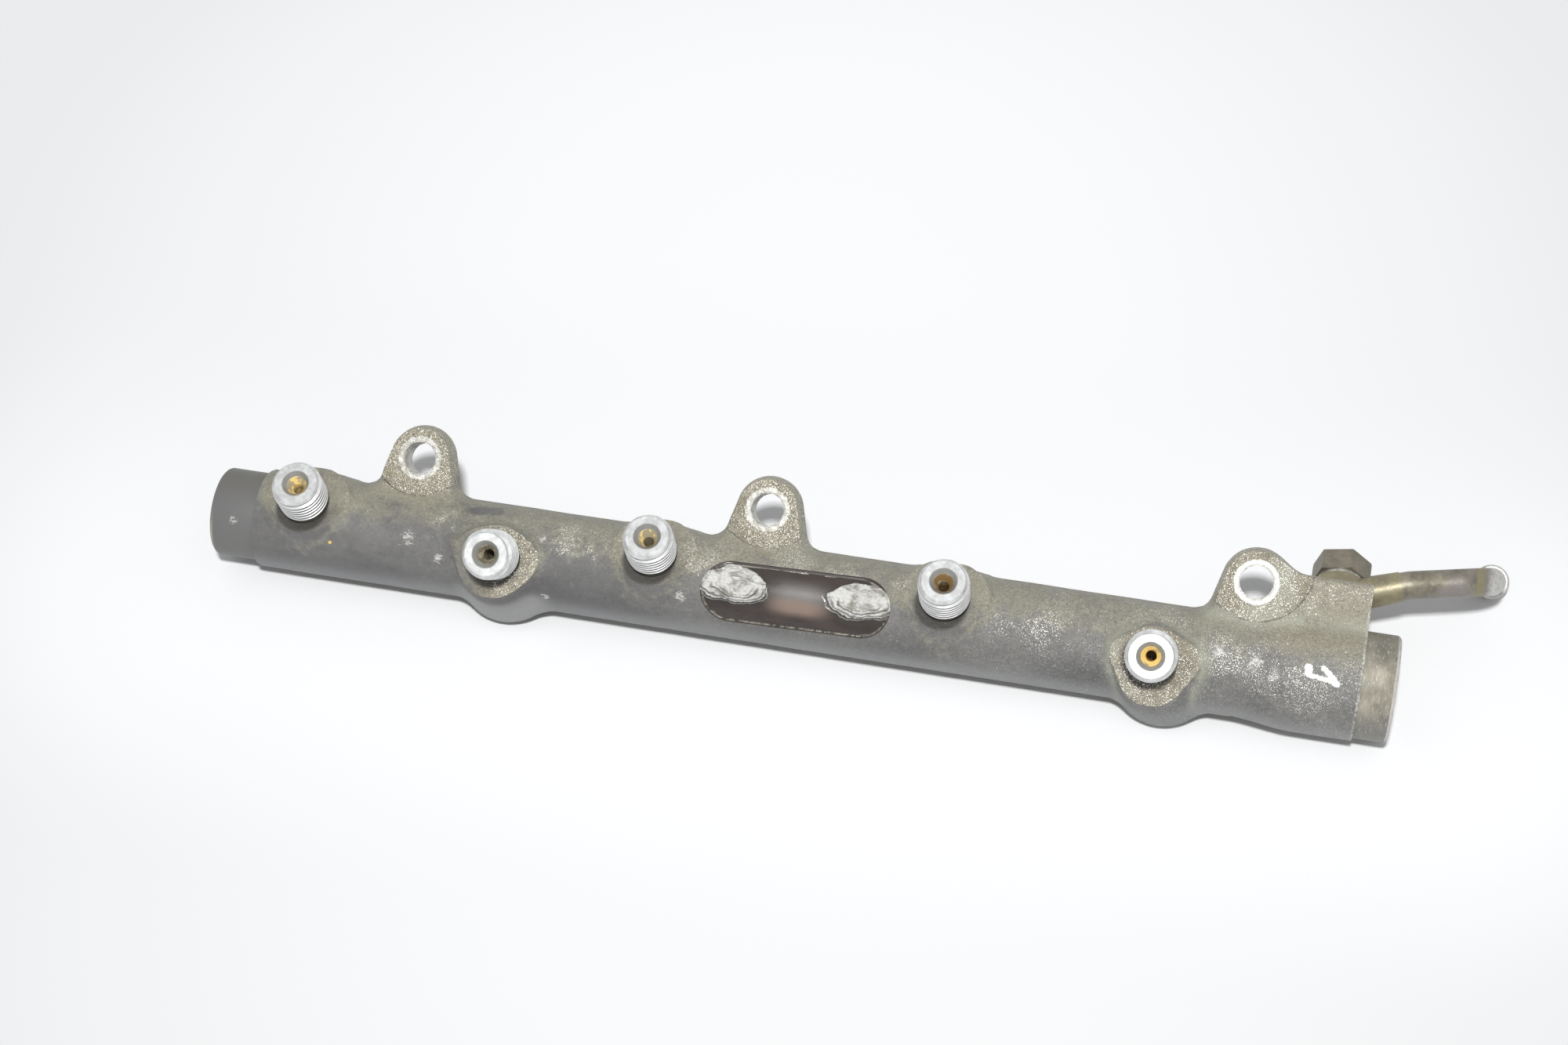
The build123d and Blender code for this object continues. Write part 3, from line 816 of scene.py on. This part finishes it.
def turned_look():
    """Machined steel of the two collars and the bores, browned by age."""
    look = Look("turned_steel_aged")
    x, across = look.x, look.across
    rings = look.noise(1.2, 3, 0.6, (0.35, 8, 8))
    blotch = look.noise(5, 5, 0.65, (0.8, 1.4, 1.4), shift=2)
    grain = look.noise(0.5, 3, 0.6, (0.5, 3, 3), shift=5)
    look.color = look.mix(look.step(blotch, 0.3, 0.72), (0.200, 0.187, 0.145), (0.43, 0.395, 0.315))
    look.coat((0.16, 0.158, 0.156), look.step(x, 40, 12))
    look.coat((0.155, 0.155, 0.148), look.step(across, -3.0, -12.0), 0.75)
    look.coat((0.150, 0.148, 0.120), look.step(across, 4.0, 11.0), 0.6)
    look.coat((0.72, 0.70, 0.62), look.step(grain, 0.58, 0.7), look.step(x, 20, 200), 0.6)
    off = look.math("POWER", look.math("ADD", look.product(look.y, look.y), look.product(look.z, look.z)), 0.5)
    inner = look.step(off, 11.8, 11.2)
    outer = look.math("SUBTRACT", 1.0, inner)
    look.coat((0.30, 0.30, 0.29), inner, 0.85)
    right_rim = look.step(x, RAIL_LENGTH - 1.1, RAIL_LENGTH - 0.7)
    look.coat((0.70, 0.68, 0.65), right_rim, outer, look.step(grain, 0.30, 0.50), 0.7)
    left_rim = look.product(look.step(x, 1.3, 0.6), look.step(across, 2.0, -6.0), look.step(blotch, 0.30, 0.55))
    look.coat((0.46, 0.44, 0.35), left_rim, outer, 0.7)
    streaks = look.noise(0.7, 5, 0.8, (1.6, 1, 1), shift=2.2, warp=0.6)
    look.coat(SCUFF, look.step(look.total(streaks, (spots(look, [COLLAR_SCUFF]), 0.25)), 0.70, 0.79), 0.8)
    normal = look.bump(look.total(rings, (grain, 0.5)), 0.05)
    return look.finish(look.blend(blotch, 0.42, 0.58), look.blend(inner, 0.12, 0.75), normal)


def plated_look(name, light, dark, purple):
    """Aged yellow zinc plating, silvery where the hose was, partly as a painted highlight on the bend, which only the
    pipe reaches.
    """
    look = Look(name)
    blotch = look.noise(4.5, 5, 0.65)
    fine = look.noise(0.8, 4, 0.65, shift=3)
    look.color = look.mix(look.step(blotch, 0.3, 0.7), dark, light)
    look.coat((0.245, 0.225, 0.225), look.step(look.noise(12, 2, 0.5, shift=6), 0.40, 0.60), purple)
    look.coat((0.62, 0.57, 0.43), look.step(fine, 0.55, 0.8), 0.4)
    look.coat((0.13, 0.12, 0.10), look.step(look.noise(2.2, 4, 0.75, shift=8), 0.62, 0.72), 0.45)
    uneven = look.vary(look.x, blotch, 2.5)
    look.coat((0.255, 0.235, 0.125), look.step(uneven, 348.0, 349.2), look.step(uneven, 351.4, 350.2), 0.8)
    # Silvery end: bare where the hose was, with a painted highlight on the bend
    silvery = look.mix(look.step(fine, 0.35, 0.65), (0.47, 0.465, 0.44), (0.68, 0.675, 0.65))
    look.coat(silvery, look.step(uneven, 351.2, 354.0), 0.85)
    normal = look.bump(look.total(look.product(fine, 0.6), (blotch, 2)), 0.05)
    return look.finish(look.blend(fine, 0.33, 0.52), 0.45, normal)


def label_look():
    """Dark film with a painted coppery highlight band, scraped down to crumpled silver at both ends, bare along its
    rim.
    """
    look = Look("label_film")
    x, across = look.x, look.across
    blotch = look.noise(7, 4, 0.6, (2.5, 1, 1))
    fine = look.noise(0.7, 4, 0.7, shift=3)
    streaks = look.noise(1.1, 4, 0.7, (3.0, 0.6, 0.6), shift=4)
    look.color = look.mix(look.step(blotch, 0.3, 0.7), (0.014, 0.010, 0.009), (0.052, 0.038, 0.032))
    # Painted highlight: a band across the film, grey above and coppery below
    highlight_band = look.product(look.step(x, LABEL_X - 10, LABEL_X - 1), look.step(x, LABEL_X + 12, LABEL_X + 3))
    upper = look.product(highlight_band, look.step(across, -4.5, -0.5), look.step(across, 6.5, 2.0))
    look.coat((0.215, 0.205, 0.190), look.product(upper, look.step(blotch, 0.2, 0.5)), 0.8)
    look.coat((0.26, 0.185, 0.148), highlight_band, look.step(across, -5.5, -2.6), look.step(across, 1.0, -1.6), 0.9)
    crumple = look.noise(3.4, 5, 0.66, (1.5, 0.8, 0.8), shift=6, warp=0.8)
    silver = look.mix(look.step(crumple, 0.36, 0.58), (0.300, 0.283, 0.245), (0.74, 0.735, 0.70))
    silver = look.mix(look.product(look.step(streaks, 0.56, 0.68), 0.85), silver, (0.93, 0.93, 0.91))
    silver = look.mix(look.product(look.step(fine, 0.56, 0.66), 0.55), silver, (0.16, 0.15, 0.13))
    torn = look.step(look.vary(look.mark("scrape"), fine, 0.5), 0.42, 0.56)
    look.coat(silver, torn)
    look.coat((0.05, 0.045, 0.04), look.mark("line"), 0.85)
    ragged = look.step(look.noise(1.6, 4, 0.75, shift=7), 0.42, 0.56)
    bare = look.product(look.mark("rim"), ragged, look.step(across, 6.6, 4.0))
    look.coat((0.33, 0.32, 0.255), bare, 0.75)
    metallic = look.most(torn, bare)
    rough = look.blend(metallic, look.blend(fine, 0.16, 0.3), look.blend(streaks, 0.42, 0.3))
    normal = look.bump(look.product(look.math("ADD", streaks, fine), torn), 0.45)
    return look.finish(rough, look.blend(metallic, 0.0, 0.45), normal)


def sealing_look():
    look = Look("sealing_ring_dull")
    blotch = look.noise(1.4, 4, 0.6)
    look.color = look.mix(look.step(blotch, 0.3, 0.7), (0.34, 0.33, 0.30), (0.56, 0.55, 0.51))
    return look.finish(look.blend(blotch, 0.35, 0.55), 0.7, look.bump(blotch, 0.03))


# Forged body, without the parts of the end faces that the collars cover
STEP = 0.72
GRID_LOW = (11.9, -21.6, -16.6)
GRID_HIGH = (322.6, 28.6, 26.6)
points, quads = contour(machined, GRID_LOW, GRID_HIGH, STEP)
# The skin stays above the model's lowest level
points[:, 2] = np.maximum(points[:, 2], -HOUSING_R + 0.002)
off_axis = np.hypot(points[:, 1], points[:, 2])
cap = (points[:, 0] < LEFT_COLLAR + 0.2) & (off_axis < LEFT_COLLAR_R - 1)
cap |= (points[:, 0] > BODY_END - 0.2) & (off_axis < RIGHT_COLLAR_R - 1)
quads = quads[~cap[quads].all(axis=1)]
kept = np.zeros(len(points), bool)
kept[quads.ravel()] = True
new_index = np.cumsum(kept) - 1
points, quads = points[kept], new_index[quads]
# 1 up to 10 mm from the middle of a lug, 0 from 15 mm on
near_lug = np.zeros(len(points))
for station in LUG_STATIONS:
    off = np.hypot(points[:, 0] - station, points @ LUG_OUT - LUG_DISTANCE)
    near_lug = np.maximum(near_lug, np.clip((15.0 - off) / 5.0, 0, 1))
marks = {"fill": forging(points, with_fill=True), "lug": near_lug}
mesh_piece("forged_body", points, quads, forged_look(), 38, marks)


def port_thread(radius, first, count):
    """Grooves of a port's thread, as radius and place along the rail."""
    profile = []
    for lap in range(count):
        start = first + lap * PITCH
        floor_r = radius + PORT_THREAD_DEPTH
        profile += [(radius, start), (floor_r, start + 0.55), (floor_r, start + 0.7), (radius, start + 1.25)]
    return profile


# Collars and bores, from the left collar's step through the bores to the right collar's step
valve_floor = RAIL_LENGTH - VALVE_BORE_DEPTH
valve_thread_floor = RAIL_LENGTH - VALVE_THREAD_DEPTH
barrel = [
    (LEFT_COLLAR_R - 0.4, LEFT_COLLAR + 0.3),
    (LEFT_COLLAR_R, LEFT_COLLAR),
    (LEFT_COLLAR_R, COLLAR_EDGE + 0.2),
    (LEFT_COLLAR_R - 0.25, COLLAR_EDGE - 0.35),
    (LEFT_COLLAR_R - COLLAR_EDGE, 0),
    (SENSOR_R + 0.9, 0),
    (SENSOR_R + 0.05, 0.9),
    *port_thread(SENSOR_R, 1.2, 7),
    (SENSOR_R, SENSOR_DEPTH),
    (BORE_R, SENSOR_DEPTH + (SENSOR_R - BORE_R) * tan(radians(30))),
    (BORE_R, valve_floor - (VALVE_BORE_R - BORE_R) * tan(radians(30))),
    (VALVE_BORE_R, valve_floor),
    (VALVE_BORE_R, valve_thread_floor),
    (VALVE_THREAD_R, valve_thread_floor),
    *port_thread(VALVE_THREAD_R, valve_thread_floor + 1.2, 5),
    (VALVE_THREAD_R, RAIL_LENGTH - 0.9),
    (VALVE_THREAD_R + 0.9, RAIL_LENGTH),
    (RIGHT_COLLAR_R - COLLAR_EDGE, RAIL_LENGTH),
    (RIGHT_COLLAR_R - 0.25, RAIL_LENGTH - COLLAR_EDGE + 0.35),
    (RIGHT_COLLAR_R, RAIL_LENGTH - COLLAR_EDGE - 0.2),
    (RIGHT_COLLAR_R, BODY_END),
    (RIGHT_COLLAR_R - 0.4, BODY_END - 0.3),
]
points, faces = lathe(barrel, 128)
mesh_piece("turned_barrel", place(points, np.zeros(3), ALONG, out_of(90)), faces, turned_look(), 25)


def nipple(number, station, out, material):
    base = SPOTFACE - 3
    start = SPOTFACE + UNDERCUT
    nose_start = start + THREAD_LENGTH
    top = nose_start + NOSE
    edge = 0.12

    def nose(h):
        if h < nose_start:
            return THREAD_R
        return THREAD_R - (h - nose_start) * (THREAD_R - NOSE_R + 0.01) / NOSE

    cone = (MOUTH_R - HOLE_R) * sqrt(3)
    points, faces = joined(
        lathe([(UNDERCUT_R, base), (UNDERCUT_R, start - 0.15), (THREAD_R - THREAD_DEPTH, start)]),
        thread_wall(start, top - edge, nose, THREAD_R, THREAD_DEPTH, PITCH),
        lathe([
            (nose(top - edge), top - edge),
            (NOSE_R - 0.06, top),
            (MOUTH_R + 0.3, top),
            (MOUTH_R + 0.02, top - 0.2),
            (2.75, top - 1.25),
            (CONE_RING_R, top - 1.4),
            (HOLE_R + 0.2, top - cone),
            (HOLE_R, top - cone - 0.25),
            (HOLE_R, 5.2),
        ]),
    )
    local = np.array(points)
    radius = np.hypot(local[:, 0], local[:, 1])
    height = local[:, 2]
    # Grime and painted shade by vertex: in the thread's valleys and the undercut, more of it near the foot, none in
    # the mouth
    grime_and_shade = np.clip((THREAD_R - radius) / THREAD_DEPTH, 0, 1) * np.clip((nose_start + 0.4 - height) / 1.2, 0, 1)
    grime_and_shade *= 0.72 + 0.28 * np.clip((start + 3.5 - height) / 4.0, 0, 1)
    grime_and_shade = np.where(radius < MOUTH_R + 0.1, 0, grime_and_shade)
    cone_mark = ((radius < CONE_RING_R + 0.05) & (height < top - 0.9)).astype(float)
    band = ((radius < MOUTH_R + 0.1) & (radius > 2.7) & (height > top - 2)).astype(float)
    marks = {"grime_and_shade": grime_and_shade, "cone": cone_mark, "band": band}
    mesh_piece(f"nipple_{number}", place(points, station * ALONG, out), faces, material, 28, marks)


AMBER = (0.96, 0.74, 0.30)
DULL = (0.44, 0.39, 0.28)
# Each nipple's cone colour, colour of the cone's bottom, and share of the first
CONES = (
    (AMBER, DULL, 0.10),
    (DULL, (0.20, 0.18, 0.13), 0.06),
    (AMBER, DULL, -0.02),
    (DULL, (0.28, 0.18, 0.07), 0.0),
    (AMBER, DULL, 0.16),
)
for number, ((station, out), cone) in enumerate(zip(NIPPLES, CONES), 1):
    nipple(number, station, out, zinc_look(f"zinc_nipple_{number}", *cone))


def label():
    """Film in the label's recess, with two scraped patches and a bare rim."""
    rows, columns = ((91, 401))
    along = (LABEL_LENGTH / 2 + LABEL_OVERLAP) * np.sin(np.linspace(-pi / 2, pi / 2, columns))
    over = np.maximum(np.abs(along) - LABEL_STRAIGHT, 0)
    reach = np.sqrt(np.maximum((LABEL_HEIGHT / 2 + LABEL_OVERLAP) ** 2 - over**2, 0.0004))
    a = np.repeat(along, rows)
    b = (reach[:, None] * np.linspace(-1, 1, rows)[None, :]).ravel()
    edge = -label_distance(a, b)
    flat = np.stack([a, b, 0 * a], 1)
    wave = lumps(flat, 7, 21) * 1.9 + lumps(flat, 2.6, 22) * 0.9
    scrape = np.zeros(len(a))
    lines = np.zeros(len(a))
    rise = np.zeros(len(a))
    for middle, half, top, bottom in SCRAPED:
        level = (top + bottom) / 2
        deep = 1 - np.hypot((a - middle) / half, (b - level) / ((top - bottom) / 2)) + wave * 0.09
        scrape = np.maximum(scrape, np.clip(0.5 + deep * 3, 0, 1))
        rise = np.maximum(rise, np.clip(deep * 4, 0, 1) * (0.16 + 0.06 * wave))
        below = np.clip((level + 0.6 - b) / 2.0, 0, 1)
        folds = np.clip(1.4 - np.abs(((deep * 5.5) % 1) - 0.5) * 5.0, 0, 1) * (deep > -0.10) * (deep < 0.45) * below
        lines = np.maximum(lines, folds)
    rim = np.clip(1 - np.abs(edge - 0.25) / 0.4, 0, 1)
    lip = np.clip(1 - edge / 0.55, 0, 1) * (LABEL_DEPTH + 0.03)
    radius = TUBE_R - LABEL_DEPTH + 0.04 + rise * 0.9 - lines * 0.10 + lip
    turn = radians(LABEL_SLANT)
    x = LABEL_X + a * cos(turn) - b * sin(turn)
    u = a * sin(turn) + b * cos(turn)
    w = np.sqrt(np.maximum(radius**2 - u**2, 0))
    points = x[:, None] * ALONG + u[:, None] * LUG_OUT + w[:, None] * LOWER_OUT
    corners = [i * rows + j for i in range(columns - 1) for j in range(rows - 1)]
    faces = [(v, v + rows, v + rows + 1, v + 1) for v in corners]
    mesh_piece("label_film", points, faces, label_look(), 60, {"scrape": scrape, "line": lines, "rim": rim})


label()

# Return fitting keeps the model's own pieces
finishes = {
    "return_bolt": plated_look("plated_bolt", (0.235, 0.215, 0.152), (0.145, 0.133, 0.096), 0.15),
    "return_eye": plated_look("plated_eye", (0.31, 0.28, 0.175), (0.215, 0.19, 0.125), 0.0),
    "return_pipe": plated_look("plated_pipe", (0.295, 0.268, 0.200), (0.140, 0.126, 0.098), 0.75),
    "inner_sealing_ring": sealing_look(),
    "outer_sealing_ring": sealing_look(),
}
for node, finish in finishes.items():
    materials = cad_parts[node].data.materials
    materials.clear()
    materials.append(finish)


# Floor
bpy.ops.mesh.primitive_plane_add(size=6, location=(0.16, 0, -HOUSING_R * MM))
floor = bpy.context.object
floor.name = "floor"
paper = Look("white_paper")
light_path = paper.new("ShaderNodeLightPath")
camera_ray = light_path.outputs["Is Camera Ray"]
tone = paper.mix(paper.step(paper.noise(900, 1), 0.3, 0.7), (0.930, 0.938, 0.950), (0.950, 0.956, 0.966))
paper.color = paper.mix(camera_ray, tone, paper.vector("MULTIPLY", tone, (1.06, 1.06, 1.06)))
floor.data.materials.append(paper.finish(0.9, 0.0))
paper.shader.inputs["Specular IOR Level"].default_value = 0.1
# Away from the object the camera sees an even white that falls off towards the sides and the far corners
from_middle = paper.vector("SUBTRACT", paper.place, PICTURE_MIDDLE)


def picture_share(direction, half, power):
    """Distance from the picture's middle in that direction, as a share of half its size, to that power."""
    share = paper.math("DIVIDE", paper.vector("DOT_PRODUCT", from_middle, direction), half)
    return paper.math("POWER", paper.math("ABSOLUTE", share), power)


fall = paper.total(paper.product(picture_share(PICTURE_RIGHT, 224.0, 2.0), 0.105),
                   (picture_share(PICTURE_UP, 225.0, 4.0), 0.035))
white = paper.clamp(paper.math("SUBTRACT", 0.985, fall), 0.84)
glow = paper.new("ShaderNodeEmission", {"Color": (0.985, 0.992, 1.0, 1.0), "Strength": white})
away = paper.step(paper.capsule((-165, 8, 0), (185, 26, 0)), 25.0, 120.0)
shaders = {0: paper.product(away, camera_ray), 1: paper.shader.outputs[0], 2: glow.outputs[0]}
both = paper.new("ShaderNodeMixShader", shaders)
paper.tree.links.new(both.outputs[0], paper.tree.nodes["Material Output"].inputs["Surface"])

# Camera at the photograph's place
camera = bpy.data.objects.new("camera", bpy.data.cameras.new("camera"))
bpy.context.scene.collection.objects.link(camera)
camera.data.lens = 66.589
camera.data.sensor_width = 36
camera.data.clip_start = 0.01
camera.location = (0.28423, -0.47947, 0.63288)
camera.rotation_euler = (radians(39.4322), radians(1.5611), radians(12.1634))
bpy.context.scene.camera = camera

# White room: what metal reflects and the camera sees is brighter than what lights the object
ROOM_LIGHT = 0.33
ROOM_SEEN = 0.95
world = bpy.data.worlds.new("room")
bpy.context.scene.world = world
world.use_nodes = True
nodes, links = world.node_tree.nodes, world.node_tree.links
background = nodes["Background"]
background.inputs["Color"].default_value = (0.985, 0.99, 1.0, 1)
path = nodes.new("ShaderNodeLightPath")
seen = nodes.new("ShaderNodeMath")
seen.operation = "MAXIMUM"
links.new(path.outputs["Is Camera Ray"], seen.inputs[0])
links.new(path.outputs["Is Glossy Ray"], seen.inputs[1])
strength = nodes.new("ShaderNodeMix")
strength.data_type = "FLOAT"
strength.inputs[2].default_value = ROOM_LIGHT
strength.inputs[3].default_value = ROOM_SEEN
links.new(seen.outputs[0], strength.inputs[0])
links.new(strength.outputs[0], background.inputs["Strength"])
bpy.context.scene.view_settings.view_transform = "Standard"

# Flash, a small soft lamp above the camera's side
lamp = bpy.data.objects.new("flash", bpy.data.lights.new("flash", "AREA"))
bpy.context.scene.collection.objects.link(lamp)
lamp.data.energy = 11.9
lamp.data.size = 0.085
lamp.location = (0.275, -0.55, 1.09)
lamp.rotation_euler = (Vector((0.17, 0, 0)) - lamp.location).to_track_quat("-Z", "Y").to_euler()
